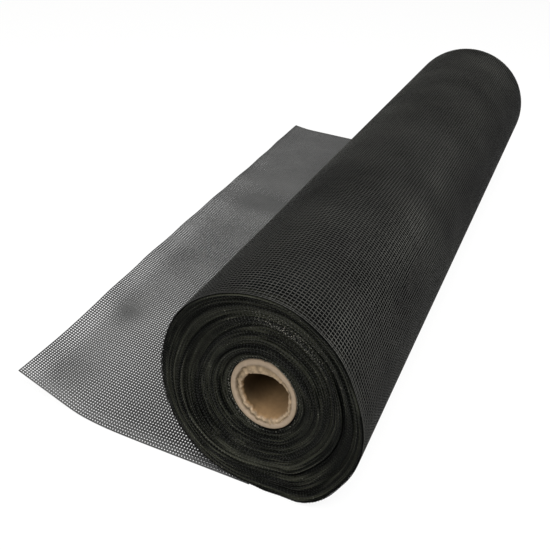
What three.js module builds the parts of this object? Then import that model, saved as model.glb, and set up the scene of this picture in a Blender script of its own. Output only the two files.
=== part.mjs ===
// A roll of fibreglass insect screen lying on its side, with one end of the cloth run out flat.
// Millimetres, +Z up. +Y runs along the roll and the loose end lies towards -X.
// The origin is on the surface that the roll rests on, under the middle of its length.
import * as THREE from "three";

// ---- driving sizes ----
const clothWidth = 400;        // selvedge to selvedge, which is the roll's length too
const rollRadius = 44.5;
const flatDepth = 0.4;         // how far the round roll is pressed flat where it rests
const gap = 0.3;               // clearance between neighbouring pieces

const core = {
  halfWidth: 14.5,             // the tube is a little squashed, taller than it is wide
  halfHeight: 15.6,
  wall: 4.3,
  offsetX: 1.3,                // its axis lies a little to +X of the roll's middle
  axisHeight: 44.4,
  nearRecess: 5.0,             // how far its ends lie inside the cloth's outer edges
  farRecess: 4.0,
  slantUp: 1.6,                // degrees off square at the near end, leaning back towards the top
  slantAcross: 6.0,            // and towards -X
};

// the wound cloth's ends are dished: inner turns lie this far inside the outermost ones
const nearDish = 4.5;
const farDish = 3.5;

// the near end's slumped outline, as a share of the roll's radius.
// Angles are seen from the near end, from +X towards +Z.
const slump = [
  { angle: 0, share: 0.98 },
  { angle: 25, share: 0.96 },
  { angle: 50, share: 1.02 },
  { angle: 80, share: 1.08 },
  { angle: 110, share: 1.06 },
  { angle: 135, share: 1.01 },
  { angle: 160, share: 0.935 },
  { angle: 190, share: 0.905 },
  { angle: 220, share: 0.94 },
  { angle: 245, share: 0.985 },
  { angle: 270, share: 1.0 },
  { angle: 290, share: 1.07 },
  { angle: 303, share: 1.11 },
  { angle: 325, share: 1.04 },
];
const slumpLength = 170;       // the slump has died away this far in from the near end

const loose = {
  thickness: 1.0,
  nearDrift: 6.4,              // the near corner is drawn in by its curl, from driftFrom on
  driftFrom: 60,
  driftSpread: 0.08,           // as a share of the width
  farDrawIn: 14,               // the far selvedge is drawn in, as the cloth lies slightly rippled
  riseFrom: 42,                // the gentle rise starts here and is a straight slope riseOver further on
  riseOver: 30,
  bendOver: 15,                // the turn up by the cut edge comes in over this length
  rippleHeight: 0.5,
  ripples: 9,                  // soft ripples across the width
};

// the cut edge, from the near selvedge (across 0) to the far one (across 1): how far it reaches
// towards -X, how high the gentle rise and the further turn up lift it, and how long the turn up is
const cutEdge = [
  { across: 0, reach: 120.9, rise: 2.0, lift: 6.0, turned: 42 },
  { across: 0.05, reach: 122.2, rise: 2.2, lift: 4.2, turned: 34 },
  { across: 0.1, reach: 123.4, rise: 2.6, lift: 2.6, turned: 20 },
  { across: 0.15, reach: 123.6, rise: 3.8, lift: 2.2, turned: 20 },
  { across: 0.2, reach: 123.5, rise: 5.0, lift: 2.6, turned: 26 },
  { across: 0.3, reach: 124.5, rise: 6.0, lift: 2.6, turned: 26 },
  { across: 0.5, reach: 128.0, rise: 5.0, lift: 2.6, turned: 25 },
  { across: 0.75, reach: 132.7, rise: 3.0, lift: 2.0, turned: 22 },
  { across: 1, reach: 138.5, rise: 1.0, lift: 1.4, turned: 18 },
];

const angularSteps = 64;
const lengthSteps = 18;
const endRings = 3;
const looseStepsAlong = 22;
const looseStepsAcross = 54;

const degrees = Math.PI / 180;
const smooth = (t) => {
  const c = Math.min(Math.max(t, 0), 1);
  return c * c * (3 - 2 * c);
};
const mix = (a, b, t) => a + (b - a) * t;

// Catmull-Rom between b and c, with a before them and d after them
const throughFour = (a, b, c, d, t) =>
  b + 0.5 * t * (c - a + t * (2 * a - 5 * b + 4 * c - d + t * (3 * (b - c) + d - a)));

// the slump table read as a smooth curve that goes round the circle
function slumpShare(angle) {
  const n = slump.length;
  const turn = ((angle / degrees) % 360 + 360) % 360;
  let row = n - 1;
  while (row > 0 && slump[row].angle > turn) row -= 1;
  const at = (k) => slump[(k + n) % n];
  const span = ((at(row + 1).angle - at(row).angle) + 360) % 360;
  const t = (turn - at(row).angle) / span;
  return throughFour(...[-1, 0, 1, 2].map((k) => at(row + k).share), t);
}

// one column of the cut edge's table, read as a smooth curve
function edgeValue(column, across) {
  const last = cutEdge.length - 1;
  let row = last - 1;
  while (row > 0 && cutEdge[row].across > across) row -= 1;
  const at = (k) => cutEdge[Math.min(Math.max(k, 0), last)];
  const t = (across - at(row).across) / (at(row + 1).across - at(row).across);
  return throughFour(...[-1, 0, 1, 2].map((k) => at(row + k)[column]), t);
}

// the wound cloth's outer surface, round but for the slump, pressed flat at the bottom
function rollPoint(angle, y) {
  const slumped = 1 - smooth((y + clothWidth / 2) / slumpLength);
  const radius = rollRadius * mix(1, slumpShare(angle), slumped);
  const height = rollRadius - flatDepth + radius * Math.sin(angle);
  return new THREE.Vector3(radius * Math.cos(angle), y, Math.max(height, 0));
}

const ovalPoint = (angle, grow, y) => new THREE.Vector3(
  core.offsetX + (core.halfWidth + grow) * Math.cos(angle), y,
  core.axisHeight + (core.halfHeight + grow) * Math.sin(angle));

function bodyFrom(points, triangles) {
  const geometry = new THREE.BufferGeometry();
  geometry.setAttribute("position", new THREE.Float32BufferAttribute(points.flatMap((p) => p.toArray()), 3));
  geometry.setIndex(triangles);
  geometry.computeVertexNormals();
  return geometry;
}

// a tube-like body: one closed loop of points for each angle, joined all the way round
function ringBody(loopAt) {
  const loops = Array.from({ length: angularSteps }, (_, j) => loopAt((2 * Math.PI * j) / angularSteps));
  const n = loops[0].length;
  const triangles = [];
  for (let j = 0; j < angularSteps; j += 1) {
    const next = (j + 1) % angularSteps;
    for (let i = 0; i < n; i += 1) {
      const k = (i + 1) % n;
      const [a, b, c, d] = [j * n + i, j * n + k, next * n + k, next * n + i];
      triangles.push(a, b, c, a, c, d);
    }
  }
  return bodyFrom(loops.flat(), triangles);
}

// a thin body between a lower and an upper grid of points, closed round its four sides
function sheetBody(lowerAt, upperAt, stepsU, stepsV) {
  const columns = stepsV + 1;
  const count = (stepsU + 1) * columns;
  const points = [];
  for (const pointAt of [lowerAt, upperAt]) {
    for (let i = 0; i <= stepsU; i += 1) {
      for (let j = 0; j < columns; j += 1) points.push(pointAt(i / stepsU, j / stepsV));
    }
  }
  const triangles = [];
  const quad = (a, b, c, d) => triangles.push(a, b, c, a, c, d);
  for (let i = 0; i < stepsU; i += 1) {
    for (let j = 0; j < stepsV; j += 1) {
      const a = i * columns + j;
      const b = a + columns;
      quad(a, b, b + 1, a + 1);
      quad(count + a, count + a + 1, count + b + 1, count + b);
    }
  }
  const edge = (a, b) => quad(a, b, b + count, a + count);
  for (let i = 0; i < stepsU; i += 1) {
    edge((i + 1) * columns, i * columns);
    edge(i * columns + stepsV, (i + 1) * columns + stepsV);
  }
  for (let j = 0; j < stepsV; j += 1) {
    edge(j, j + 1);
    edge(stepsU * columns + j + 1, stepsU * columns + j);
  }
  return bodyFrom(points, triangles);
}

// ---- the cardboard core, an open tube ----
function coreTube() {
  const nearEnd = (point) => {
    const up = (point.z - core.axisHeight) * Math.tan(core.slantUp * degrees);
    const back = (point.x - core.offsetX) * Math.tan(core.slantAcross * degrees);
    point.y = -clothWidth / 2 + core.nearRecess + up - back;
    return point;
  };
  const farY = clothWidth / 2 - core.farRecess;
  return ringBody((angle) => [
    nearEnd(ovalPoint(angle, 0, 0)),
    ovalPoint(angle, 0, farY),
    ovalPoint(angle, -core.wall, farY),
    nearEnd(ovalPoint(angle, -core.wall, 0)),
  ]);
}

// ---- the cloth wound on the core, one solid from the core out to the outermost turn ----
function woundScreen() {
  const half = clothWidth / 2;
  return ringBody((angle) => {
    const nearOuter = rollPoint(angle, -half);
    const farOuter = rollPoint(angle, half);
    const nearInner = ovalPoint(angle, gap, -half + nearDish);
    const farInner = ovalPoint(angle, gap, half - farDish);
    const loop = [];
    for (let i = 0; i < endRings; i += 1) loop.push(nearInner.clone().lerp(nearOuter, i / endRings));
    for (let i = 0; i <= lengthSteps; i += 1) {
      loop.push(rollPoint(angle, mix(-half, half, i / lengthSteps)));
    }
    for (let i = 1; i <= endRings; i += 1) loop.push(farOuter.clone().lerp(farInner, i / endRings));
    return loop;
  });
}

// ---- the loose end, which runs out from under the roll and curls up at its cut edge ----
// where the roll's underside has risen far enough to leave room for the sheet
function tuckedEdge(y) {
  const room = loose.thickness + gap;
  let angle = 265 * degrees;
  while (rollPoint(angle, y).z < room) angle -= 0.2 * degrees;
  return rollPoint(angle, y).x;
}

// the height of a slope that comes in smoothly over 0 to 1 and then runs on straight
function turnedUp(t) {
  const c = Math.min(Math.max(t, 0), 1);
  return c ** 3 - c ** 4 / 2 + Math.max(t - 1, 0);
}

// along runs from the tucked edge to the cut edge, across from the near selvedge to the far one
function loosePoint(along, across) {
  const columns = ["reach", "rise", "lift", "turned"];
  const [reach, rise, lift, turned] = columns.map((column) => edgeValue(column, across));
  const rollY = mix(-clothWidth / 2, clothWidth / 2, across);
  const x = mix(tuckedEdge(rollY), -reach, along);
  const out = -x;
  const slope = (start, over) => turnedUp((out - start) / over) / turnedUp((reach - start) / over);
  const drift = loose.nearDrift * Math.exp(-across / loose.driftSpread) * slope(loose.driftFrom, 30);
  const drawIn = loose.farDrawIn * across ** 2 * smooth((2 * out) / reach);
  const open = smooth((out - 20) / 30) * smooth((across - 0.1) * 5) * smooth((1 - across) * 8);
  const ripple = 0.5 + 0.5 * Math.sin(2 * Math.PI * loose.ripples * across + (2.5 * out) / reach);
  const raised = rise * slope(loose.riseFrom, loose.riseOver) + lift * slope(reach - turned, loose.bendOver);
  return new THREE.Vector3(x, rollY + drift - drawIn, loose.rippleHeight * open * ripple + raised);
}

function looseEnd() {
  const raised = (along, across) => {
    const point = loosePoint(along, across);
    point.z += loose.thickness;
    return point;
  };
  return sheetBody(loosePoint, raised, looseStepsAlong, looseStepsAcross);
}

// ---- the finished object ----
const cardboard = new THREE.MeshStandardMaterial({ color: 0xb8a088, roughness: 0.9, metalness: 0 });
const screenYarn = new THREE.MeshStandardMaterial({ color: 0x22231f, roughness: 0.6, metalness: 0 });

function piece(name, geometry, material) {
  const mesh = new THREE.Mesh(geometry, material);
  mesh.name = name;
  return mesh;
}

const group = new THREE.Group();
group.add(
  piece("core_tube", coreTube(), cardboard),
  piece("wound_screen", woundScreen(), screenYarn),
  piece("loose_end", looseEnd(), screenYarn.clone()),
);
export default group;
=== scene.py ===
# A roll of fibreglass insect screen with its end run out flat, made thread by thread to the CAD's sizes.
import math

import bpy
import numpy as np
from mathutils import Matrix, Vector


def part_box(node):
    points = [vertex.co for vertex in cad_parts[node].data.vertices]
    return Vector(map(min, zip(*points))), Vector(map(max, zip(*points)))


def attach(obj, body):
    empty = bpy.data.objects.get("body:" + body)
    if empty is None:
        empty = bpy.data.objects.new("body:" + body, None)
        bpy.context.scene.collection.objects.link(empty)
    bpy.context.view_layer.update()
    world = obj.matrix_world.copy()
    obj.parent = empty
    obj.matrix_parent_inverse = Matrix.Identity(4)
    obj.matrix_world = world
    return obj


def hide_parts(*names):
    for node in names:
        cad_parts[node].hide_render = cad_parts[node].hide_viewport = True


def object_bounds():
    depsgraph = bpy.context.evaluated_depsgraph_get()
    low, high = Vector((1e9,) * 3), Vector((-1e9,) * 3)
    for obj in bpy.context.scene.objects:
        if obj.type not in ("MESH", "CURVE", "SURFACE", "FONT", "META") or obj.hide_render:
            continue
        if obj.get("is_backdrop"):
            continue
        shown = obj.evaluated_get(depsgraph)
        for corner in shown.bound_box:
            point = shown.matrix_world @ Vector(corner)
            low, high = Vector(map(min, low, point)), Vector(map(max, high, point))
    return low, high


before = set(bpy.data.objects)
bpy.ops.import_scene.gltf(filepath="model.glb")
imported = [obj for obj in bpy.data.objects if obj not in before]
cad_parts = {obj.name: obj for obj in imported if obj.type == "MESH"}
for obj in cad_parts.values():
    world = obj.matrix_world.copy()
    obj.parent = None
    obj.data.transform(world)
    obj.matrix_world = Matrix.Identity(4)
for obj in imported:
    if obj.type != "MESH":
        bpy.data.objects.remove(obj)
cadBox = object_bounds()
mm = 0.001    # shapes are worked out in millimetres
turnOf = 2 * math.pi

clothLow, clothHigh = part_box("wound_screen")
halfWidth = (clothHigh.y - clothLow.y) / 2 / mm

cloth = {
    "pickPitch": 25.4 / 18,      # threads that lie along the roll: 18 to the inch of cloth
    "warpPitch": 25.4 / 16,      # threads that run the cloth's length: 16 to the inch
    "threadThick": 0.26,
    "layerPitch": 0.33,          # one turn on top of the next
}

roll = {
    "radius": 44.5,
    "flatDepth": 0.4,            # how far it is pressed flat where it rests
    "slumpLength": 170.0,        # the slump has died away this far in from the near end
    "slump": [                   # degrees from +X towards +Z, share of the radius
        (0, 0.98), (25, 0.96), (50, 1.02), (80, 1.08), (110, 1.06), (135, 1.01), (160, 0.935),
        (190, 0.905), (220, 0.94), (245, 0.985), (270, 1.0), (290, 1.07), (303, 1.11), (325, 1.04),
    ],
}

coreSizes = {
    "halfWidth": 14.5, "halfHeight": 15.6, "wall": 4.3,
    "offsetX": 1.3, "axisHeight": 44.4,
    "nearRecess": 5.0, "farRecess": 4.0,
    "slantUp": 1.6, "slantAcross": 6.0,  # degrees off square at the near end
    "gap": 0.3,
}


def smooth(t):
    # 3t² - 2t³, held between 0 and 1
    t = np.clip(t, 0, 1)
    return t * t * (3 - 2 * t)


def mix(a, b, t):
    return a + (b - a) * t


def throughFour(a, b, c, d, t):
    # Catmull-Rom between b and c, with a before them and d after them
    return b + 0.5 * t * (c - a + t * (2 * a - 5 * b + 4 * c - d + t * (3 * (b - c) + d - a)))


def roundTable(rows, angle, column=1):
    # a closed table read as a smooth curve round the circle; rows start with degrees, angle is in radians
    at = np.array([row[0] for row in rows], float)
    value = np.array([row[column] for row in rows], float)
    n = len(rows)
    turn = np.degrees(angle) % 360
    row = (np.searchsorted(at, turn, side="right") - 1) % n
    span = (at[(row + 1) % n] - at[row]) % 360
    t = ((turn - at[row]) % 360) / span
    return throughFour(value[(row - 1) % n], value[row], value[(row + 1) % n], value[(row + 2) % n], t)


def openTable(rows, where, column):
    # an open table read as a smooth curve; rows start with the place, and its ends are held
    at = np.array([row[0] for row in rows], float)
    value = np.array([row[column] for row in rows], float)
    last = len(rows) - 1
    row = np.clip(np.searchsorted(at, where, side="right") - 1, 0, last - 1)
    t = (where - at[row]) / (at[row + 1] - at[row])
    before, after = np.maximum(row - 1, 0), np.minimum(row + 2, last)
    return throughFour(value[before], value[row], value[row + 1], value[after], t)


def outlineRadius(angle, y):
    # the roll's outer radius: round, but blended into the slumped outline towards the near end
    slumped = 1 - smooth((y + halfWidth) / roll["slumpLength"])
    return roll["radius"] * mix(1, roundTable(roll["slump"], angle), slumped)


def places(x, y, z):
    # x, y and z, spread to one shape, as points
    return np.stack(np.broadcast_arrays(x, y, z), -1)


def insetPoint(angle, y, inset):
    # x and z of a place that lies inset from the roll's outline, held level where the roll is pressed flat
    radius = outlineRadius(angle, y) - inset
    z = roll["radius"] - roll["flatDepth"] + radius * np.sin(angle)
    return radius * np.cos(angle), np.maximum(z, inset)


def woundPoint(turns, y):
    # a spiral: turns counts from the floor up the +X side; each turn lies one layer further in
    angle = -math.pi / 2 + turnOf * turns
    inset = cloth["threadThick"] / 2 + cloth["layerPitch"] * turns
    x, z = insetPoint(angle, y, inset)
    return places(x, y, z)


def unit(v):
    return v / np.linalg.norm(v, axis=-1, keepdims=True)


def surfaceFrame(surface, u, v, du, dv):
    # the surface's point, its unit directions along u and along v, and its unit normal, which is the
    # direction along v crossed with the one along u
    alongU = unit(surface(u + du, v) - surface(u - du, v))
    alongV = unit(surface(u, v + dv) - surface(u, v - dv))
    return surface(u, v), alongU, alongV, unit(np.cross(alongV, alongU))


def putMesh(name, points, quads, attributes=None):
    # a mesh object of four-cornered faces, turned outwards by the sign of the volume they enclose
    a, b, c, d = (points[quads[:, k]] for k in range(4))
    volume = (a * (np.cross(b, c) + np.cross(c, d))).sum()
    if volume < 0:
        quads = quads[:, ::-1]
    mesh = bpy.data.meshes.new(name)
    mesh.vertices.add(len(points))
    mesh.vertices.foreach_set("co", (points * mm).astype(np.float32).ravel())
    mesh.loops.add(quads.size)
    mesh.loops.foreach_set("vertex_index", np.ascontiguousarray(quads, np.int32).ravel())
    mesh.polygons.add(len(quads))
    mesh.polygons.foreach_set("loop_start", np.arange(0, quads.size, 4, dtype=np.int32))
    mesh.update(calc_edges=True)
    mesh.shade_smooth()
    for key, values in (attributes or {}).items():
        layer = mesh.attributes.new(key, "FLOAT", "POINT")
        layer.data.foreach_set("value", np.asarray(values, np.float32).ravel())
    piece = bpy.data.objects.new(name, mesh)
    bpy.context.scene.collection.objects.link(piece)
    return piece


def sweep(centre, side, up, section):
    # a section, given anticlockwise, carried along each of many lines: corner = centre + side·s + up·t;
    # ends are closed, and where side crossed with up runs back along the lines, the faces are turned round
    lines, stations = centre.shape[:2]
    corners = section.shape[-2]
    s, t = section[..., 0, None], section[..., 1, None]
    points = centre[:, :, None] + side[:, :, None] * s + up[:, :, None] * t
    number = np.arange(lines * stations * corners).reshape(lines, stations, corners)
    here, ahead = number[:, :-1], number[:, 1:]
    walls = np.stack([here, np.roll(here, -1, 2), np.roll(ahead, -1, 2), ahead], -1).reshape(-1, 4)
    startCaps = np.concatenate([number[:, 0][:, [0, k + 2, k + 1, k]] for k in range(1, corners - 2, 2)])
    endCaps = np.concatenate([number[:, -1][:, [0, k, k + 1, k + 2]] for k in range(1, corners - 2, 2)])
    quads = np.concatenate([walls, startCaps, endCaps])
    if (np.cross(side[:, 0], up[:, 0]) * (centre[:, 1] - centre[:, 0])).sum() < 0:
        quads = quads[:, ::-1]
    return points.reshape(-1, 3), quads


def closedGrid(grid):
    # the faces of a grid of points that closes on itself in both directions
    rows, columns = grid.shape[:2]
    number = np.arange(rows * columns).reshape(rows, columns)
    right, down = np.roll(number, -1, 1), np.roll(number, -1, 0)
    return np.stack([number, right, np.roll(down, -1, 1), down], -1).reshape(-1, 4)


def joined(parts):
    # several (points, quads) pairs as one
    points, quads, count = [], [], 0
    for p, q in parts:
        points.append(p)
        quads.append(q + count)
        count += len(p)
    return np.concatenate(points), np.concatenate(quads)


def flatSection(wide, thick):
    # the four corners of a pressed yarn, a set of them for each width given
    corners = np.array([(-0.5, -0.5), (0.5, -0.5), (0.5, 0.5), (-0.5, 0.5)])
    wide = np.asarray(wide)[..., None]
    return np.stack(np.broadcast_arrays(corners[:, 0] * wide, corners[:, 1] * thick), -1)


def colour(hexValue):
    # an sRGB hex value as linear red, green, blue and alpha
    parts = [int(hexValue[k:k + 2], 16) / 255 for k in (1, 3, 5)]
    return tuple(p / 12.92 if p <= 0.04045 else ((p + 0.055) / 1.055) ** 2.4 for p in parts) + (1.0,)


def newMaterial(name):
    material = bpy.data.materials.new(name)
    material.use_nodes = True
    tree = material.node_tree
    shader = tree.nodes["Principled BSDF"]
    return material, tree, shader


def addNode(tree, kind, settings=None, inputs=None, links=None):
    # a node with its settings, its fixed inputs and the sockets that feed it
    node = tree.nodes.new(kind)
    for key, value in (settings or {}).items():
        setattr(node, key, value)
    for key, value in (inputs or {}).items():
        node.inputs[key].default_value = value
    for key, socket in (links or {}).items():
        tree.links.new(socket, node.inputs[key])
    return node


def addRamp(tree, factor, stops):
    # a colour ramp through (place, hex) stops
    node = addNode(tree, "ShaderNodeValToRGB", links={"Fac": factor})
    ramp = node.color_ramp
    while len(ramp.elements) < len(stops):
        ramp.elements.new(0.5)
    for element, (place, hexValue) in zip(ramp.elements, stops):
        element.position = place
        element.color = colour(hexValue)
    return node


yarnLook = {
    "dark": "#262626", "light": "#3f3f3e",
    "roughness": 0.5, "specular": 0.35,
    "patchSize": 38.0,           # mm, soft lighter and darker patches of the coating
    "grainSize": 0.35,           # mm, the coating's unevenness over the twisted glass
}

woundLook = {  # the outermost turn: a lit copy of the yarn, painted lighter, with a wider range of tones and hardly any gloss
    "dark": "#1e1e1d", "light": "#4d4d49", "specular": 0.08,
}

shadedLook = {  # the same yarn one layer down, where hardly any light gets to it
    "dark": "#060606", "light": "#0f0f0e", "roughness": 0.8, "specular": 0.05,
}


def yarnMaterial(name, look):
    # vinyl-coated fibreglass yarn: charcoal with a low, slightly uneven gloss, so each thread shows as a fine
    # line; the attribute shade scales its colour, painting light and shade onto the threads
    material, tree, shader = newMaterial(name)
    place = addNode(tree, "ShaderNodeTexCoord").outputs["Object"]
    patches = addNode(tree, "ShaderNodeTexNoise",
                      inputs={"Scale": 1 / (look["patchSize"] * mm), "Detail": 3.0}, links={"Vector": place})
    grain = addNode(tree, "ShaderNodeTexNoise",
                    inputs={"Scale": 1 / (look["grainSize"] * mm), "Detail": 2.0}, links={"Vector": place})
    blend = addNode(tree, "ShaderNodeMath", {"operation": "MULTIPLY_ADD"}, {1: 0.5},
                    {0: patches.outputs["Fac"], 2: grain.outputs["Fac"]})
    tone = addRamp(tree, blend.outputs[0], [(0.55, look["dark"]), (0.95, look["light"])])
    # painted light and shade: the colour scaled by the shade attribute, held above 0.02
    shade = addNode(tree, "ShaderNodeAttribute", {"attribute_name": "shade"})
    held = addNode(tree, "ShaderNodeMath", {"operation": "MAXIMUM"}, {1: 0.02}, {0: shade.outputs["Fac"]})
    tone = addNode(tree, "ShaderNodeVectorMath", {"operation": "SCALE"},
                   links={0: tone.outputs["Color"], "Scale": held.outputs[0]})
    smoothest, roughest = look["roughness"] - 0.07, look["roughness"] + 0.1
    gloss = addNode(tree, "ShaderNodeMapRange",
                    inputs={"From Min": 0.3, "From Max": 0.7, "To Min": smoothest, "To Max": roughest},
                    links={"Value": grain.outputs["Fac"]})
    bump = addNode(tree, "ShaderNodeBump", inputs={"Strength": 0.35, "Distance": 0.03 * mm},
                   links={"Height": grain.outputs["Fac"]})
    tree.links.new(tone.outputs[0], shader.inputs["Base Color"])
    tree.links.new(gloss.outputs["Result"], shader.inputs["Roughness"])
    tree.links.new(bump.outputs["Normal"], shader.inputs["Normal"])
    shader.inputs["Specular IOR Level"].default_value = look["specular"]
    return material


screenYarn = yarnMaterial("vinylCoatedYarn", yarnLook)
woundYarn = yarnMaterial("litOuterYarn", {**yarnLook, **woundLook})
shadedYarn = yarnMaterial("shadedYarn", {**yarnLook, **shadedLook})
print("materials for the yarn ready")

stage = {
    "half": 30.0, "below": 0.1,
    "floor": "#4a4a49", "glow": 0.905,  # most of the floor's white is its own glow, so shadows stay faint
    "worldStrength": 0.20,
}


def makeStage():
    # a wide, matt floor just under the cloth
    half = stage["half"] / mm
    corners = np.array([(-half, -half), (half, -half), (half, half), (-half, half)])
    points = np.column_stack([corners, np.full(4, -stage["below"])])
    mesh = bpy.data.meshes.new("studio_floor")
    mesh.from_pydata((points * mm).tolist(), [], [(0, 1, 2, 3)])
    floor = bpy.data.objects.new("studio_floor", mesh)
    bpy.context.scene.collection.objects.link(floor)
    material, tree, shader = newMaterial("mattWhitePaper")
    place = addNode(tree, "ShaderNodeTexCoord").outputs["Object"]
    tooth = addNode(tree, "ShaderNodeTexNoise", inputs={"Scale": 900.0, "Detail": 2.0},
                    links={"Vector": place})
    bump = addNode(tree, "ShaderNodeBump", inputs={"Strength": 0.05, "Distance": 0.05 * mm},
                   links={"Height": tooth.outputs["Fac"]})
    tree.links.new(bump.outputs["Normal"], shader.inputs["Normal"])
    shader.inputs["Base Color"].default_value = colour(stage["floor"])
    shader.inputs["Roughness"].default_value = 0.9
    shader.inputs["Specular IOR Level"].default_value = 0.1
    shader.inputs["Emission Color"].default_value = (1.0, 1.0, 1.0, 1.0)
    shader.inputs["Emission Strength"].default_value = stage["glow"]
    floor.data.materials.append(material)
    floor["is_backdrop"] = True


def makeWorld():
    world = bpy.data.worlds.new("studio")
    world.use_nodes = True
    background = world.node_tree.nodes["Background"]
    background.inputs["Color"].default_value = (1.0, 1.0, 1.0, 1.0)
    background.inputs["Strength"].default_value = stage["worldStrength"]
    bpy.context.scene.world = world
    bpy.context.scene.view_settings.view_transform = "Standard"


lamps = [  # name, where it hangs in metres, what it aims at, its side in metres, its watts
    {"name": "overheadSoftbox", "at": (0.4, -0.25, 1.35), "aim": (0, 0, 0), "size": 0.9, "power": 31.0},
    {"name": "fillSoftbox", "at": (-0.2, -1.0, 1.1), "aim": (0, -0.1, 0), "size": 0.9, "power": 18.0},
]


def aimed(location, target):
    # turns the -Z axis from location towards target
    z = unit(np.subtract(location, target).astype(float))
    x = unit(np.cross((0.0, 1.0, 0.0), z))
    y = np.cross(z, x)
    turned = Matrix((x, y, z)).transposed().to_4x4()
    return Matrix.Translation(location) @ turned


def makeLamps():
    for lamp in lamps:
        light = bpy.data.lights.new(lamp["name"], "AREA")
        light.shape = "SQUARE"
        light.size = lamp["size"]
        light.energy = lamp["power"]
        item = bpy.data.objects.new(lamp["name"], light)
        item.matrix_world = aimed(lamp["at"], lamp["aim"])
        bpy.context.scene.collection.objects.link(item)


camera = {
    "at": (0.080345, -0.388389, 0.228865), "heading": 21.766, "down": 31.965, "roll": 3.866,
    "lens": 47.35, "sensor": 36.0,
}


def makeCamera():
    data = bpy.data.cameras.new("camera")
    data.sensor_width = camera["sensor"]
    data.lens = camera["lens"]
    data.clip_start = 0.01
    item = bpy.data.objects.new("camera", data)
    heading = Matrix.Rotation(math.radians(camera["heading"]), 4, "Z")
    down = Matrix.Rotation(math.radians(90 - camera["down"]), 4, "X")
    lean = Matrix.Rotation(math.radians(camera["roll"]), 4, "Z")
    item.matrix_world = Matrix.Translation(camera["at"]) @ heading @ down @ lean
    bpy.context.scene.collection.objects.link(item)
    bpy.context.scene.camera = item


makeStage()
makeWorld()
makeLamps()
makeCamera()
print("floor, light and camera ready")

loose = {
    "threadWide": 0.645, "threadThick": 0.30,
    "widerByRoll": (0.11, 50.0, 45.0),   # the threads widen towards the roll, darkening the sheet in place of the roll's shade on the floor: by how much, from, over
    "widerUnderIt": (0.35, 14.0, 22.0),  # and most of all where the sheet goes under it, where that shade is deepest
    "cutStrip": {"long": 12.0, "wider": -0.11, "over": 5.0, "lost": 0.7, "lostFrom": 0.35, "lostOver": 0.25},
    "patches": [                 # dense and open places: how far out, across, size, how much wider
        (106.5, 0.185, 6.5, 0.38), (111.0, 0.20, 11.0, 0.16), (103.0, 0.05, 13.0, 0.10),
        (118.0, 0.02, 9.0, -0.10), (88.0, 0.42, 40.0, 0.03), (110.0, 0.62, 45.0, 0.04),
    ],
    "densePlaces": (0.30, 0.41, 0.52, 0.60),  # denser bands that run out from the roll, across it
    "dense": {"wider": 0.035, "middle": 92, "half": 14, "over": 14, "size": 0.016, "lean": 0.0006},
    "bend": {"in": 18, "size": 8, "from": 0.30, "over": 0.20},  # where the sheet was bent by its cut edge
    # where the painted sheen in the bend lies
    "sheenBend": {"in": 17, "size": 12, "from": 0.10, "over": 0.25},
    "spread": {                  # extra width: by the near selvedge, in the bend, and further across
        "near": 0.04, "from": 0.06, "nearOver": 0.20, "bend": 0.05,
        "farPicks": -0.06, "farWarps": 0.28, "farOver": 0.28,
    },
    # painted sheen: how much lighter the coating is painted in the bend, further across and further out
    "paintedSheen": {"bend": 0.6, "from": 0.10, "over": 0.50, "all": 0.4, "out": 0.4, "outFrom": 60, "outOver": 60},
    "picks": 88,                 # threads along the roll, between the roll's underside and the cut edge
    "fan": 1.5,                  # how late they swing from the roll's direction to the slanted cut's
    "nearDrift": 6.4, "driftFrom": 60.0, "driftOver": 30.0,    # the near corner is drawn in by its curl
    "driftSpread": 0.08,
    "farDrawIn": 14.0,           # the far selvedge is drawn in, as the cloth lies slightly rippled
    "riseFrom": 42.0, "riseOver": 30.0,
    "bendOver": 15.0,            # the turn up by the cut edge comes in over this length
    "rippleHeight": 0.5, "ripples": 9.0, "rippleLean": 2.5,    # soft ripples across the width
    "lift": 0.10,                # the under side of the threads over the floor
    "stationsAlong": 34, "stationsAcross": 48,
    "pickUp": 0.08,              # the picks lie this much higher than the warps
    "cutEdge": [  # across, reach towards -X, gentle rise there, further lift, how far in the lift starts
        (0.0, 120.9, 2.0, 6.0, 42.0), (0.05, 122.2, 2.2, 4.2, 34.0), (0.1, 123.4, 2.6, 2.6, 20.0),
        (0.15, 123.6, 3.8, 2.2, 20.0), (0.2, 123.5, 5.0, 2.6, 26.0), (0.3, 124.5, 6.0, 2.6, 26.0),
        (0.5, 128.0, 5.0, 2.6, 25.0), (0.75, 132.7, 3.0, 2.0, 22.0), (1.0, 138.5, 1.0, 1.4, 18.0),
    ],
}


def turnedUp(t):
    # the height of a slope that comes in smoothly: the integral of smooth(t), which is t³ - t⁴/2 up to 1
    # and t - 1/2 from there on
    c = np.clip(t, 0, 1)
    return c ** 3 - c ** 4 / 2 + np.maximum(t - 1, 0)


def slopeTo(out, reach, start, over):
    # a smooth slope from start on, as a share of its height at the cut edge
    return turnedUp((out - start) / over) / turnedUp((reach - start) / over)


def loosePoint(out, across):
    # out is the distance from under the roll's axis towards -X. The sheet climbs gently from riseFrom on,
    # turns up a little more by its cut edge, and carries soft ripples that die away at its borders
    reach, rise, lift, turned = (openTable(loose["cutEdge"], across, k) for k in (1, 2, 3, 4))
    drift = loose["nearDrift"] * np.exp(-across / loose["driftSpread"])
    drift = drift * slopeTo(out, reach, loose["driftFrom"], loose["driftOver"])
    drawnIn = loose["farDrawIn"] * across ** 2 * smooth(2 * out / reach)
    y = mix(-halfWidth, halfWidth, across) + drift - drawnIn
    free = smooth((out - 20) / 30) * smooth((across - 0.1) * 5) * smooth((1 - across) * 8)
    ripple = 0.5 + 0.5 * np.sin(turnOf * loose["ripples"] * across + loose["rippleLean"] * out / reach)
    z = loose["lift"] + loose["threadThick"] / 2 + loose["rippleHeight"] * free * ripple
    z = z + rise * slopeTo(out, reach, loose["riseFrom"], loose["riseOver"])
    z = z + lift * slopeTo(out, reach, reach - turned, loose["bendOver"])
    return places(-out, y, z)


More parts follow.
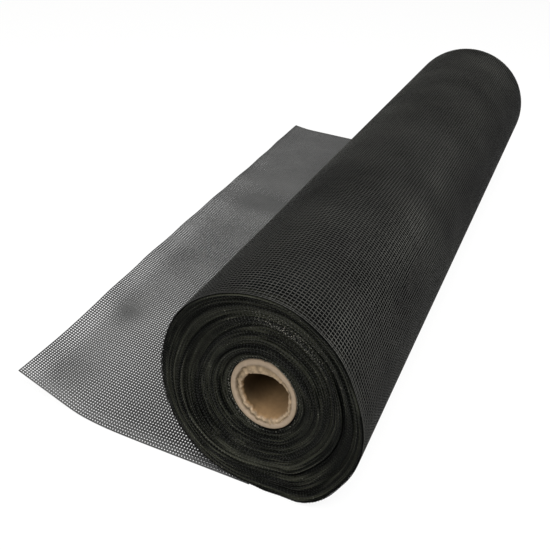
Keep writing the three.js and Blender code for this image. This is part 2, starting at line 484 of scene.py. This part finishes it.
def bent(out, across, place):
    # 1 along the middle of the bend, falling off as a bell to both sides and smoothly across the sheet
    reach = openTable(loose["cutEdge"], across, 1)
    fading = 1 - smooth((across - place["from"]) / place["over"])
    return np.exp(-((out - reach + place["in"]) / place["size"]) ** 2) * fading


def spread(out, across):
    # how much wider than the common width the picks and the warps lie: the picks by the near selvedge,
    # both in the bend, and the warps further across, so that the cloth closes up
    size = loose["spread"]
    bend = bent(out, across, loose["bend"])
    here = (size["near"] + size["near"] * bend) * (1 - smooth((across - size["from"]) / size["nearOver"]))
    further = smooth((across - size["from"]) / size["farOver"])
    picks = here + size["bend"] * bend + size["farPicks"] * further
    warps = size["farWarps"] * further + size["bend"] * bend - here
    return picks, warps


def paintedSheen(out, across):
    # painted sheen: how much lighter the coating is painted, as a share of its tone, in the bend and further
    # across
    tone = loose["paintedSheen"]
    bend = bent(out, across, loose["sheenBend"])
    farOut = smooth((out - tone["outFrom"]) / tone["outOver"])
    further = smooth((across - tone["from"]) / tone["over"])
    return tone["bend"] * bend + further * (tone["all"] + tone["out"] * farOut)


def looseWidth(out, across):
    # the threads' width: it varies softly, which shows as lighter and darker patches of the sheet
    reach = openTable(loose["cutEdge"], across, 1)
    wide = loose["threadWide"]
    for wider, start, over in (loose["widerByRoll"], loose["widerUnderIt"]):
        wide = wide + wider * (1 - smooth((out - start) / over))
    strip = loose["cutStrip"]
    kept = 1 - strip["lost"] * smooth((across - strip["lostFrom"]) / strip["lostOver"])
    wide = wide + strip["wider"] * smooth((out - reach + strip["long"]) / strip["over"]) * kept
    for farOut, place, size, wider in loose["patches"]:
        away = np.hypot(out - farOut, (across - place) * 2 * halfWidth) / size
        wide = wide + wider * np.exp(-away ** 2)
    dense = loose["dense"]
    fromMiddle = out - dense["middle"]
    along = 1 - smooth((np.abs(fromMiddle) - dense["half"]) / dense["over"])
    for place in loose["densePlaces"]:
        away = (across - place - dense["lean"] * fromMiddle) / dense["size"]
        wide = wide + dense["wider"] * along * np.exp(-away ** 2)
    return wide


def looseCloth():
    # real threads of both sets: the warps run out from the roll, and the picks swing from the roll's
    # direction to that of the cut edge, the last of them right at it
    thick = loose["threadThick"]
    warpCount = round(2 * halfWidth / cloth["warpPitch"])
    warpAt = np.linspace(0, 1, warpCount)
    across = np.repeat(warpAt[:, None], loose["stationsAlong"], 1)
    reach = openTable(loose["cutEdge"], across, 1)
    out = (reach + 0.3) * np.linspace(0, 1, loose["stationsAlong"]) ** 0.85
    centre, alongOut, alongAcross, up = surfaceFrame(loosePoint, out, across, 0.2, 0.0005)
    wide = looseWidth(out, across) + spread(out, across)[1]
    wide[[0, -1]] = loose["threadWide"]
    warps = sweep(centre, alongAcross, up, flatSection(wide, thick))
    # the painted sheen goes to the shade attribute
    shade = [1 + paintedSheen(out, across).ravel()]
    share = (np.arange(loose["picks"]) + 1)[:, None] / loose["picks"]
    across = np.repeat(np.linspace(-0.0005, 1.0005, loose["stationsAcross"])[None, :], loose["picks"], 0)
    reach = openTable(loose["cutEdge"], across, 1)
    middle = reach[0].mean()
    out = share * middle + (reach - middle) * share ** loose["fan"]
    centre, alongOut, alongAcross, up = surfaceFrame(loosePoint, out, across, 0.2, 0.0005)
    centre = centre + up * loose["pickUp"]
    wide = looseWidth(out, across) + spread(out, across)[0]
    picks = sweep(centre, alongOut, up, flatSection(wide, thick))
    shade.append(1 + paintedSheen(out, across).ravel())
    points, quads = joined([warps, picks])
    edge = loosePoint(out, across)
    lengths = np.linalg.norm(np.diff(edge, axis=0), axis=-1).sum(0)
    area = lengths.mean() * 2 * halfWidth
    sheet = putMesh("loose_cloth", points, quads, {"shade": np.repeat(np.concatenate(shade), 4)})
    return sheet, area * mm * mm, lengths.max() * mm


looseSheet, looseArea, looseLength = looseCloth()
looseSheet.data.materials.append(screenYarn)
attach(looseSheet, "root")
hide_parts("loose_end")
print("loose end ready:", len(looseSheet.data.polygons), "faces")

outer = {
    "warpStations": 73, "pickStations": 19, "edgeLeft": 0.4,
    "warpPitch": 25.4 / 15,      # a little wider than on the sheet
    "selvedge": (0.9, 2.3),      # the threads nearest each end, mm in from the last one
    "warpWide": 0.33, "pickWide": 0.21, "thick": 0.13,
    "warpUp": 0.02, "pickUp": 0.04,  # the threads that lie along the roll stand a little proud
    "commonTone": 0.84,          # the share of the yarn's colour that the threads' tops have
    "bands": [  # soft bands of painted light and shade along the roll: middle and half width in degrees, how much lighter near, and far
        (50, 11, 0.40, 0.05), (10, 30, -0.05, -0.55), (130, 32, -0.18, 0.0),
    ],
}
second = {**outer, "warpStations": 61, "pickStations": 17, "edgeLeft": 0.6}


def weaveDrift(turns, y):
    # how far the threads lie off their places along the roll: slow waves that differ from turn to turn
    a = 0.30 * np.sin(turnOf * (y / 190 + 0.9 * turns) + 3.1 * np.floor(turns))
    b = 0.22 * np.sin(turnOf * (y / 83 - 1.7 * turns) + 1.3)
    return a + b


def paintedThreadLight(turns, y):
    # painted light on the threads: their tops get a common tone and soft bands of painted light and shade
    # along the roll, each a bell round its middle; their lower corners get the same below zero, which the
    # material holds near black, as painted shade on the threads' sides
    angle = np.degrees(turnOf * turns) - 90
    further = smooth((y + 80) / 100)
    tone = outer["commonTone"]
    for middle, half, nearLighter, farLighter in outer["bands"]:
        away = ((angle - middle + 180) % 360 - 180) / half
        tone = tone + mix(nearLighter, farLighter, further) * np.exp(-away ** 2)
    return (tone[..., None] * np.array((-1.0, -1.0, 1.0, 1.0))).ravel()


def turnCloth(name, firstTurn, sizes):
    # one whole turn of cloth on the spiral, both thread sets
    end = halfWidth - sizes["edgeLeft"]
    inner = end - sizes["selvedge"][-1]
    y = np.linspace(-inner, inner, round(2 * inner / sizes["warpPitch"]))
    extra = end - np.array((0.0,) + sizes["selvedge"])
    y = np.concatenate([-extra, y[1:-1], extra])[:, None]
    turns = firstTurn + np.linspace(0, 1, sizes["warpStations"])[None, :]
    fade = smooth((halfWidth - np.abs(y)) / 12)
    y = y + weaveDrift(turns, y) * fade
    turns = np.broadcast_to(turns, y.shape)
    centre, alongTurn, alongRoll, up = surfaceFrame(woundPoint, turns, y, 0.002, 0.2)
    centre = centre + up * sizes["warpUp"]
    warps = sweep(centre, alongRoll, up, flatSection(sizes["warpWide"], sizes["thick"]))
    shade = [paintedThreadLight(turns, y)]
    around = turnOf * (roll["radius"] - cloth["layerPitch"] * (firstTurn + 0.5))
    pickCount = int(around / cloth["pickPitch"])
    turns = firstTurn + (np.arange(pickCount)[:, None] + 0.5) * cloth["pickPitch"] / around
    y = np.linspace(-halfWidth, halfWidth, sizes["pickStations"])[None, :]
    turns = turns + 0.0009 * np.sin(turnOf * (y / 270 + 1.3 * turns) + firstTurn)
    y = np.broadcast_to(y, turns.shape)
    centre, alongTurn, alongRoll, up = surfaceFrame(woundPoint, turns, y, 0.002, 0.2)
    centre = centre + up * sizes["pickUp"]
    picks = sweep(centre, alongTurn, up, flatSection(sizes["pickWide"], sizes["thick"]))
    shade.append(paintedThreadLight(turns, y))
    points, quads = joined([warps, picks])
    return putMesh(name, points, quads, {"shade": np.concatenate(shade)})


turnPieces = (("outer_turn", 0, outer, woundYarn), ("second_turn", 1, second, shadedYarn))
for name, firstTurn, sizes, yarn in turnPieces:
    piece = turnCloth(name, firstTurn, sizes)
    piece.data.materials.append(yarn)
    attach(piece, "root")
    print(name, "ready:", len(piece.data.polygons), "faces")

near = {
    "name": "near", "side": -1, "dish": 4.5, "stations": 84, "seed": 3,
    "frayed": (73.0, 28.0, 0.64, 0.12),  # degrees, their spread, share of the way out, its spread
    "gaps": [  # a gap between turns: its base share of the way out, then rows of angle, where, how wide
        {"base": 0.715, "rows": [
            (0, 0.715, 0.021), (30, 0.755, 0.022), (60, 0.735, 0.007), (90, 0.75, 0.007),
            (120, 0.705, 0.016), (140, 0.695, 0.019), (165, 0.71, 0.017), (190, 0.755, 0.019),
            (220, 0.775, 0.022), (245, 0.745, 0.011), (270, 0.70, 0.002), (295, 0.655, 0.016),
            (310, 0.63, 0.022), (330, 0.655, 0.021), (350, 0.69, 0.019)]},
        {"base": 0.53, "rows": [
            (0, 0.52, 0.006), (30, 0.575, 0.009), (60, 0.575, 0.009), (90, 0.565, 0.006),
            (120, 0.50, 0.005), (150, 0.46, 0.004), (190, 0.46, 0.005), (240, 0.50, 0.004),
            (300, 0.50, 0.001), (330, 0.50, 0.002)]},
        {"base": 0.87, "rows": [
            (0, 0.865, 0.007), (45, 0.88, 0.007), (90, 0.865, 0.006), (140, 0.835, 0.009),
            (180, 0.86, 0.006), (240, 0.87, 0.001), (300, 0.84, 0.002), (330, 0.85, 0.009)]},
        {"base": 0.24, "rows": [
            (0, 0.24, 0.004), (60, 0.22, 0.004), (120, 0.23, 0.009), (180, 0.22, 0.006),
            (240, 0.24, 0.004), (300, 0.24, 0.004)]},
        {"base": 0.10, "rows": [
            (0, 0.10, 0.005), (60, 0.11, 0.002), (120, 0.11, 0.007), (180, 0.10, 0.007),
            (240, 0.09, 0.006), (300, 0.10, 0.006)]},
    ],
}

far = {
    "name": "far", "side": 1, "dish": 3.5, "stations": 64, "seed": 8,
    "frayed": (140.0, 40.0, 0.40, 0.20),
    "gaps": [
        {"base": 0.62, "rows": [
            (0, 0.62, 0.012), (90, 0.60, 0.004), (180, 0.64, 0.015), (270, 0.61, 0.007)]},
        {"base": 0.30, "rows": [
            (0, 0.30, 0.002), (90, 0.31, 0.010), (180, 0.29, 0.005), (270, 0.31, 0.010)]},
    ],
}

edges = {
    "turns": 90,                 # turns between the second one and the core
    "thick": 0.23,               # one layer seen end on
    "deep": 6.0,                 # how far the modelled edges reach into the roll
    "unevenness": 0.20,          # mm that one turn's edge stands proud of or behind the next
    "dishFrom": 0.22,            # the dish takes over from the core's end by this share of the way out
    "outsideLayers": 2.6,        # layers between the roll's outline and share 1
    "wideGap": 0.6,              # gaps further out than this push all the turns apart, others a few
    "proud": (22, 2.5, 2.5),     # the turns inside a gap stand proud: how much, turns in, turns wide
    "sunk": (30, -1.5, 2.0),     # and those outside it lie back
    "round": 0.12,               # how far down the ribbon its outer edge is rounded
}

noiseGrids = ((1, 40), (1.5, 6), (7, 6), (1.2, 5))  # turns and sectors: fine, in bunches, in bands, in lines

edgeTone = {  # lighter and darker turns
    "fine": 0.4, "bunch": 0.9, "band": 0.5,
    "line": 2.8, "lineSize": 0.25, "lineBase": -0.6,   # fine light lines where the line noise passes 0
    "gapShade": 90, "byGapTurns": 2.5,                    # painted shade by every gap, the more the wider it is
    "right": 0.45, "rightTurned": 0.6,                 # painted shade to the right
    "ridgeHighlight": 5.0, "ridgeIn": 2.0, "ridgeTurns": 1.3, "ridgeTurned": 0.3,  # a painted highlight on the proud turns inside the first gap
}


def corePoint(angle, grow):
    # the core's outline: an upright oval grown by grow
    x = coreSizes["offsetX"] + (coreSizes["halfWidth"] + grow) * np.cos(angle)
    z = coreSizes["axisHeight"] + (coreSizes["halfHeight"] + grow) * np.sin(angle)
    return x, z


def coreInside(end, angle, grow=0.0):
    # how far the core's end lies inside the cloth's: at the near end it leans back towards the top and -X
    if end is far:
        return coreSizes["farRecess"] + 0 * angle
    x, z = corePoint(angle, grow)
    up = (z - coreSizes["axisHeight"]) * math.tan(math.radians(coreSizes["slantUp"]))
    back = (x - coreSizes["offsetX"]) * math.tan(math.radians(coreSizes["slantAcross"]))
    return coreSizes["nearRecess"] + up - back


def facePoint(angle, share, y):
    # a place on an end face: share runs from the core, 0, to the inside of the second turn, 1
    innerX, innerZ = corePoint(angle, coreSizes["gap"] + edges["thick"] / 2)
    outerX, outerZ = insetPoint(angle, y, cloth["layerPitch"] * edges["outsideLayers"])
    return mix(innerX, outerX, share), mix(innerZ, outerZ, share)


def shareOf(end, turns, angle):
    # evenly wound shares, pushed apart at each gap and swung to where the gap lies
    even = 1 - turns / edges["turns"]
    share = even
    for gap in end["gaps"]:
        base = gap["base"]
        where = roundTable(gap["rows"], angle, 1)
        wide = np.maximum(roundTable(gap["rows"], angle, 2), 0)
        tent = np.minimum(even / base, (1 - even) / (1 - base))
        steepness = 1.0 if base > edges["wideGap"] else 3.0
        tent = np.maximum(0, 1 - steepness * (1 - tent))
        past = smooth((even - base) * edges["turns"] + 0.5)
        share = share + (where - base) * tent + wide * (past - even)
    return share


def gapsAt(end, turns, angle):
    # for each gap, how many turns inside it each place lies and how wide the gap is there
    even = 1 - turns / edges["turns"]
    for gap in end["gaps"]:
        wide = np.maximum(roundTable(gap["rows"], angle, 2), 0)
        yield (gap["base"] - even) * edges["turns"], wide


def edgeHeight(end, turns, angle, control):
    # how far an edge lies inside the outermost one: the dish, ridges by the gaps, and each turn's unevenness
    even = 1 - turns / edges["turns"]
    dish = end["dish"] * (1 - even)
    height = mix(coreInside(end, angle) + 0.1, dish, smooth(even / edges["dishFrom"]))
    proud, proudIn, proudTurns = edges["proud"]
    sunk, sunkIn, sunkTurns = edges["sunk"]
    for inward, wide in gapsAt(end, turns, angle):
        height = height - proud * wide * np.exp(-((inward - proudIn) / proudTurns) ** 2)
        height = height + sunk * wide * np.exp(-((inward - sunkIn) / sunkTurns) ** 2)
    return height + control


def paintedEdgeLight(end, turns):
    # painted light on the turns' edges: painted shade by every gap and to the right, and a painted highlight
    # just inside the first gap, low down
    angle = turnOf * turns - math.pi / 2
    tone = 0.0
    for inward, wide in gapsAt(end, turns, angle):
        tone = tone - edgeTone["gapShade"] * wide * np.exp(-(inward / edgeTone["byGapTurns"]) ** 2)
    inward, _ = next(gapsAt(end, turns, angle))
    below = smooth(0.5 - 0.9 * np.sin(angle + edgeTone["ridgeTurned"]))
    ridgeHighlight = below * np.exp(-((inward - edgeTone["ridgeIn"]) / edgeTone["ridgeTurns"]) ** 2)
    right = smooth(np.cos(angle + edgeTone["rightTurned"]))
    return tone - edgeTone["right"] * right + edgeTone["ridgeHighlight"] * ridgeHighlight


def ringNoise(generator, turns, every, sectors):
    # random values on a grid of so many turns by so many sectors of the circle, blended between neighbours
    values = generator.normal(size=(int(edges["turns"] / every) + 3, sectors))
    across, around = turns / every, (turns % 1) * sectors
    row, column = across.astype(int), around.astype(int) % sectors
    beside = (column + 1) % sectors
    t, u = smooth(across - row), smooth(around - np.floor(around))
    here = mix(values[row, column], values[row, beside], u)
    ahead = mix(values[row + 1, column], values[row + 1, beside], u)
    return mix(here, ahead, t)


def edgeSpiral(end, turns, control):
    # the spiral that the turns' edges follow, its outward direction, and the way it runs
    angle = -math.pi / 2 + turnOf * turns
    share = shareOf(end, turns, angle)
    atEdge = np.full_like(turns, end["side"] * halfWidth)
    x, z = facePoint(angle, share, atEdge)
    xOut, zOut = facePoint(angle, share + 0.004, atEdge)
    y = end["side"] * (halfWidth - edgeHeight(end, turns, angle, control))
    centre = np.stack([x, y, z], -1)
    outward = unit(np.stack([xOut - x, np.zeros_like(x), zOut - z], -1))
    return centre, outward


def edgeRibbon(end, control, tone, turns):
    # one long ribbon wound from the second turn in to the core, rounded at its outer edge
    half, deep, shoulder = edges["thick"] / 2, edges["deep"], edges["round"]
    section = np.array([
        (half, -deep), (half, -shoulder), (half / 2, 0.0),
        (-half / 2, 0.0), (-half, -shoulder), (-half, -deep),
    ])
    centre, outward = edgeSpiral(end, turns, control)
    up = np.zeros_like(centre)
    up[:, 1] = end["side"]
    points, quads = sweep(centre[None], outward[None], up[None], section)
    return putMesh(end["name"] + "_turn_edges", points, quads, {"tone": np.repeat(tone, len(section))})


cutYarn = {
    "wide": 0.24, "thick": 0.16, "foot": 0.5,      # foot: how far in each one starts
    "scatter": 0.12,                               # mm off its place along the spiral, either way
    "stands": 0.02, "uneven": 0.16, "frayedMore": 0.35,   # how far it stands out
    "lean": 0.05, "frayedLean": 3,
    "tone": 0.25, "withTurn": 0.12, "paintedGlint": 0.45, "paintedSparkle": 1.2,  # how pale its tip is: a base, its turn's tone with that tone's painted shade and highlight, painted glints on a few tips, and frayed tips lighter still, pale glass with painted sparkle
    "byCore": (0.9, 0.035),                        # fraying next to the core, and the share it reaches
}


def looseFray(end, turn):
    # how frayed the cut ends are, 0 to 1: a bell round one patch of the end, and the turns next to the core
    angle = (turn % 1) * 360 - 90
    even = 1 - turn / edges["turns"]
    frayAngle, fraySpread, frayShare, frayWidth = end["frayed"]
    patch = np.exp(-((angle - frayAngle) / fraySpread) ** 2 - ((even - frayShare) / frayWidth) ** 2)
    byCore, coreShare = cutYarn["byCore"]
    return np.clip(patch + byCore * np.exp(-(even / coreShare) ** 2), 0, 1)


def threadEnds(end, generator, control, tone, turns):
    # the cut ends of the threads that lie along the roll, one every pick pitch along the spiral
    centre, outward = edgeSpiral(end, turns, control)
    length = np.concatenate([[0], np.cumsum(np.linalg.norm(np.diff(centre, axis=0), axis=1))])
    count = int(length[-1] / cloth["pickPitch"])
    scatter = generator.uniform(-cutYarn["scatter"], cutYarn["scatter"], count)
    place = (np.arange(count) + 0.5) * cloth["pickPitch"] + scatter
    at = np.stack([np.interp(place, length, centre[:, k]) for k in range(3)], -1)
    out = unit(np.stack([np.interp(place, length, outward[:, k]) for k in range(3)], -1))
    turn = np.interp(place, length, turns)
    frayed = looseFray(end, turn)
    along = np.cross(out, (0.0, 1.0, 0.0))
    standing = cutYarn["stands"] + cutYarn["uneven"] * generator.random(count)
    standing = standing + cutYarn["frayedMore"] * frayed * generator.random(count) ** 2
    lean = generator.normal(0, cutYarn["lean"], (count, 2)) * (1 + cutYarn["frayedLean"] * frayed[:, None])
    up = np.zeros_like(at)
    up[:, 1] = end["side"]
    foot = at - up * cutYarn["foot"]
    tip = at + up * standing[:, None] + along * lean[:, :1] + out * lean[:, 1:]
    lines = np.stack([foot, tip], 1)
    sideways, upright = np.repeat(along[:, None], 2, 1), np.repeat(out[:, None], 2, 1)
    points, quads = sweep(lines, sideways, upright, flatSection(cutYarn["wide"], cutYarn["thick"]))
    # the tips' pallor: their turn's tone, painted shade and highlight included, painted glints on a few, and
    # painted sparkle where frayed
    pale = cutYarn["tone"] + cutYarn["withTurn"] * np.interp(turn, turns, tone)
    pale = pale + cutYarn["paintedGlint"] * generator.random(count) ** 7
    pale = pale + cutYarn["paintedSparkle"] * frayed * generator.random(count) ** 1.5
    tips = np.zeros((count, 2, 4))
    tips[:, 1] = pale[:, None]
    return putMesh(end["name"] + "_thread_ends", points, quads, {"tip": np.clip(tips, 0, 1)})


edgeLook = {
    "dark": "#040503", "light": "#33342b", "roughness": 0.6, "specular": 0.06,
    "grainSize": 0.8,
}


def edgeMaterial(name, look):
    # the selvedges of the wound turns, seen end on: dark and matt, with fine lighter lines on some turns, and
    # the painted shade and highlight that the tone attribute carries
    material, tree, shader = newMaterial(name)
    place = addNode(tree, "ShaderNodeTexCoord").outputs["Object"]
    tone = addNode(tree, "ShaderNodeAttribute", {"attribute_name": "tone"})
    grain = addNode(tree, "ShaderNodeTexNoise",
                    inputs={"Scale": 1 / (look["grainSize"] * mm), "Detail": 3.0}, links={"Vector": place})
    mixed = addNode(tree, "ShaderNodeMath", {"operation": "MULTIPLY_ADD"}, {1: 0.25},
                    {0: tone.outputs["Fac"], 2: grain.outputs["Fac"]})
    shade = addRamp(tree, mixed.outputs[0], [(0.25, look["dark"]), (1.0, look["light"])])
    bump = addNode(tree, "ShaderNodeBump", inputs={"Strength": 0.5, "Distance": 0.05 * mm},
                   links={"Height": grain.outputs["Fac"]})
    tree.links.new(shade.outputs["Color"], shader.inputs["Base Color"])
    tree.links.new(bump.outputs["Normal"], shader.inputs["Normal"])
    shader.inputs["Roughness"].default_value = look["roughness"]
    shader.inputs["Specular IOR Level"].default_value = look["specular"]
    return material


def endsMaterial(name):
    # cut yarn ends: the same black vinyl, with pale glass filaments showing at some of the tips, and painted
    # glints and sparkle on the palest
    material, tree, shader = newMaterial(name)
    place = addNode(tree, "ShaderNodeTexCoord").outputs["Object"]
    tip = addNode(tree, "ShaderNodeAttribute", {"attribute_name": "tip"})
    shade = addRamp(tree, tip.outputs["Fac"], [(0.2, "#0a0b08"), (0.6, "#2f302b"), (1.0, "#85837a")])
    grain = addNode(tree, "ShaderNodeTexNoise", inputs={"Scale": 4000.0, "Detail": 2.0},
                    links={"Vector": place})
    bump = addNode(tree, "ShaderNodeBump", inputs={"Strength": 0.4, "Distance": 0.02 * mm},
                   links={"Height": grain.outputs["Fac"]})
    tree.links.new(shade.outputs["Color"], shader.inputs["Base Color"])
    tree.links.new(bump.outputs["Normal"], shader.inputs["Normal"])
    shader.inputs["Roughness"].default_value = 0.45
    shader.inputs["Specular IOR Level"].default_value = 0.3
    return material


woundEdges = edgeMaterial("woundSelvedges", edgeLook)
cutEnds = endsMaterial("cutYarnEnds")
for end in (near, far):
    generator = np.random.default_rng(end["seed"])
    turns = np.linspace(0, edges["turns"], edges["turns"] * end["stations"] + 1)
    fine, bunch, band, line = (ringNoise(generator, turns, *grid) for grid in noiseGrids)
    control = edges["unevenness"] * (0.7 * fine + 1.3 * bunch + 1.2 * band)
    lines = edgeTone["line"] * np.exp(-(line / edgeTone["lineSize"]) ** 2) + edgeTone["lineBase"]
    tone = edgeTone["fine"] * fine + edgeTone["bunch"] * bunch + edgeTone["band"] * band
    tone = tone + lines + paintedEdgeLight(end, turns)
    ribbon = edgeRibbon(end, control, tone, turns)
    ribbon.data.materials.append(woundEdges)
    ends = threadEnds(end, generator, control, tone, turns)
    ends.data.materials.append(cutEnds)
    for piece in (ribbon, ends):
        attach(piece, "root")
        print(piece.name, "ready:", len(piece.data.polygons), "faces")

inside = {"around": 120, "along": 24, "layers": 2.25, "overlap": 0.5}


def woundBody():
    # a closed ring: out along the near end, along the roll under the second turn, and back in at the far end
    angle = np.linspace(0, turnOf, inside["around"], endpoint=False)[:, None]
    nearY = -halfWidth + near["dish"] + edges["deep"] - inside["overlap"]
    farY = halfWidth - far["dish"] - edges["deep"] + inside["overlap"]
    inX, inZ = corePoint(angle, coreSizes["gap"])
    y = np.linspace(nearY, farY, inside["along"])[None, :]
    outX, outZ = insetPoint(angle, y, cloth["layerPitch"] * inside["layers"])
    grid = np.concatenate([places(inX, nearY, inZ), places(outX, y, outZ), places(inX, farY, inZ)], 1)
    return putMesh("wound_turns", grid.reshape(-1, 3), closedGrid(grid))


def bodyMaterial():
    # the turns further in: nearly black, as hardly any light gets between the threads, with a faint grain
    material, tree, shader = newMaterial("deepTurns")
    place = addNode(tree, "ShaderNodeTexCoord").outputs["Object"]
    grain = addNode(tree, "ShaderNodeTexNoise", inputs={"Scale": 700.0, "Detail": 3.0},
                    links={"Vector": place})
    shade = addRamp(tree, grain.outputs["Fac"], [(0.35, "#040404"), (0.7, "#0a0a0a")])
    bump = addNode(tree, "ShaderNodeBump", inputs={"Strength": 0.6, "Distance": 0.2 * mm},
                   links={"Height": grain.outputs["Fac"]})
    tree.links.new(shade.outputs["Color"], shader.inputs["Base Color"])
    tree.links.new(bump.outputs["Normal"], shader.inputs["Normal"])
    shader.inputs["Roughness"].default_value = 0.8
    shader.inputs["Specular IOR Level"].default_value = 0.1
    return material


body = woundBody()
body.data.materials.append(bodyMaterial())
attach(body, "root")
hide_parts("wound_screen")
print("wound turns ready:", len(body.data.polygons), "faces")

board = {
    "around": 180, "seed": 5,
    "tear": {"waves": 40, "power": 0.8, "size": 0.22},           # the torn edge's coarse and fine raggedness
    "fray": {"waves": 30, "power": 0.5, "size": 0.08},
    "tornBack": 1.4, "farTornBack": 0.7,
    "splitFrom": 0.48, "splitTo": 0.70, "splitMiddle": 0.60, "splitSize": 0.06,  # shares of the wall
    "creviceShade": 0.6, "boreShade": 0.9,      # how dark the painted shade in the split and on the bore's -X side is
    "innerReach": 150, "innerStations": 7,
}

nearRim = [  # share of the wall inwards, how far inside the end, how much the torn edge moves it
    (0.00, 2.5, 0.0), (0.00, 0.9, 0.0), (0.03, 0.30, 0.0), (0.10, 0.04, 0.05), (0.22, 0.0, 0.1),
    (0.38, 0.0, 0.1), (0.49, 0.10, 0.5), (0.54, 0.40, 1.2), (0.58, 0.75, 1.5), (0.64, 0.60, 1.5),
    (0.69, 0.20, 1.1), (0.80, 0.15, 0.9), (0.90, 0.30, 1.4), (0.97, 0.65, 1.5), (1.00, 1.3, 1.3),
    (1.00, 2.4, 0.6), (1.00, 5.0, 0.1),
]

lip = [  # degrees, how far the torn inner plies hang into the bore at the near end, how open the split is
    (0, -0.2, 0.3), (30, 0.0, 0.5), (60, 0.7, 0.4), (80, 1.9, 0.2), (100, 2.3, 0.3), (125, 2.0, 0.6),
    (150, 1.1, 1.2), (180, 0.7, 1.6), (210, 0.5, 1.3), (240, 0.5, 1.5), (270, 0.3, 0.7), (300, 0.2, 0.3),
    (330, -0.2, 0.2),
]


def ragged(generator, angle, kind):
    # a sum of sines with random phases, its strength falling with the number of waves
    phase = generator.uniform(0, turnOf, kind["waves"])
    count = np.arange(1, kind["waves"] + 1)
    return (np.sin(count * angle[..., None] + phase) / count ** kind["power"]).sum(-1) * kind["size"]


def cardboardCore():
    # rings joined into a closed tube: the near rim from outside inwards, the bore's wall, the far rim back
    # out, and the outer wall; the near rim is torn, and split along the middle of its wall
    generator = np.random.default_rng(board["seed"])
    angle = np.linspace(0, turnOf, board["around"], endpoint=False)[:, None]
    share, inward, torn = (np.array([row[k] for row in nearRim])[None, :] for k in range(3))
    hangs = inward < 4                     # all of the rim but its last ring, which lies in the bore
    tear = ragged(generator, angle, board["tear"])
    fray = ragged(generator, angle * 3, board["fray"])
    wall = coreSizes["wall"]
    hang = roundTable(lip, angle, 1) * smooth((share - 0.5) * 3) * hangs
    inSplit = (share > board["splitFrom"]) & (share < board["splitTo"])
    split = np.where(inSplit, roundTable(lip, angle, 2), 1.0)
    grow = -share * wall - hang - torn * (tear * 0.9 + fray)
    x, z = corePoint(angle, grow)
    tornBack = torn * (np.abs(tear) * board["tornBack"] + fray)
    nearLoop = places(x, coreInside(near, angle, grow) - halfWidth + inward * split + tornBack, z)
    stations = board["innerStations"]
    midY = np.linspace(-board["innerReach"], board["innerReach"], stations)[None, :]
    x, z = corePoint(angle, np.full_like(midY, -wall))
    innerWall = places(x, midY, z)
    x, z = corePoint(angle, -share[:, ::-1] * wall - torn[:, ::-1] * fray * 0.5)
    farY = halfWidth - coreSizes["farRecess"] - inward[:, ::-1]
    farLoop = places(x, farY - torn[:, ::-1] * np.abs(tear) * board["farTornBack"], z)
    x, z = corePoint(angle, np.zeros_like(midY))
    outerWall = places(x, midY[:, ::-1], z)
    grid = np.concatenate([nearLoop, innerWall, farLoop, outerWall], 1)
    depth = np.concatenate([share[0], np.ones(stations), share[0, ::-1], np.zeros(stations)])
    depth = np.broadcast_to(depth[None, :], grid.shape[:2])
    # painted shade, kept in the split attribute: darker in the open split and on the bore's -X side
    paintedShade = np.zeros(grid.shape[:2])
    middle = np.exp(-((share - board["splitMiddle"]) / board["splitSize"]) ** 2)
    rim = len(nearRim)
    paintedShade[:, :rim] = np.clip(split - 0.2, 0, 1) * middle * board["creviceShade"]
    paintedShade[:, rim - 2:rim + stations] = board["boreShade"] * smooth(0.3 - 0.9 * np.cos(angle + 0.3))
    attributes = {"depth": depth, "split": paintedShade}
    return putMesh("cardboard_core", grid.reshape(-1, 3), closedGrid(grid), attributes)


def kraftMaterial():
    # spiral-wound kraft board: a pale, matt, fibrous cut end and a browner wall inside, with painted shade in
    # the split and on the bore's -X side
    material, tree, shader = newMaterial("kraftBoard")
    place = addNode(tree, "ShaderNodeTexCoord").outputs["Object"]
    depth = addNode(tree, "ShaderNodeAttribute", {"attribute_name": "depth"})
    fibre = addNode(tree, "ShaderNodeTexNoise", inputs={"Scale": 900.0, "Detail": 4.0, "Roughness": 0.65},
                    links={"Vector": place})
    stain = addNode(tree, "ShaderNodeTexNoise", inputs={"Scale": 520.0, "Detail": 4.0},
                    links={"Vector": place})
    stainedMore = addRamp(tree, depth.outputs["Fac"], [(0.45, "#898989"), (0.6, "#e7e7e7"),
                                                       (0.95, "#e7e7e7"), (1.0, "#8c8c8c")])
    stained = addRamp(tree, stain.outputs["Fac"], [(0.3, "#5c5850"), (0.7, "#a8a49c")])
    shade = addRamp(tree, depth.outputs["Fac"], [(0.0, "#90806d"), (0.5, "#938371"), (0.62, "#a08e76"),
                                                 (0.9, "#b39f88"), (1.0, "#83694a")])
    split = addNode(tree, "ShaderNodeAttribute", {"attribute_name": "split"})
    # the colour of the painted shade in the split and on the bore's -X side
    paintedShadeMix = addNode(tree, "ShaderNodeMix", {"data_type": "RGBA"}, {7: colour("#4a3c28")},
                       {0: split.outputs["Fac"], 6: shade.outputs["Color"]})
    mottled = addNode(tree, "ShaderNodeMix", {"data_type": "RGBA", "blend_type": "OVERLAY"}, links={
        0: stainedMore.outputs["Color"], 6: paintedShadeMix.outputs[2], 7: stained.outputs["Color"]})
    bump = addNode(tree, "ShaderNodeBump", inputs={"Strength": 0.5, "Distance": 0.15 * mm},
                   links={"Height": fibre.outputs["Fac"]})
    tree.links.new(mottled.outputs[2], shader.inputs["Base Color"])
    tree.links.new(bump.outputs["Normal"], shader.inputs["Normal"])
    shader.inputs["Roughness"].default_value = 0.85
    shader.inputs["Specular IOR Level"].default_value = 0.2
    return material


core = cardboardCore()
core.data.materials.append(kraftMaterial())
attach(core, "root")
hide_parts("core_tube")
print("core ready:", len(core.data.polygons), "faces")

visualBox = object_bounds()
sizes = {"cad": [list(corner) for corner in cadBox], "visual": [list(corner) for corner in visualBox]}
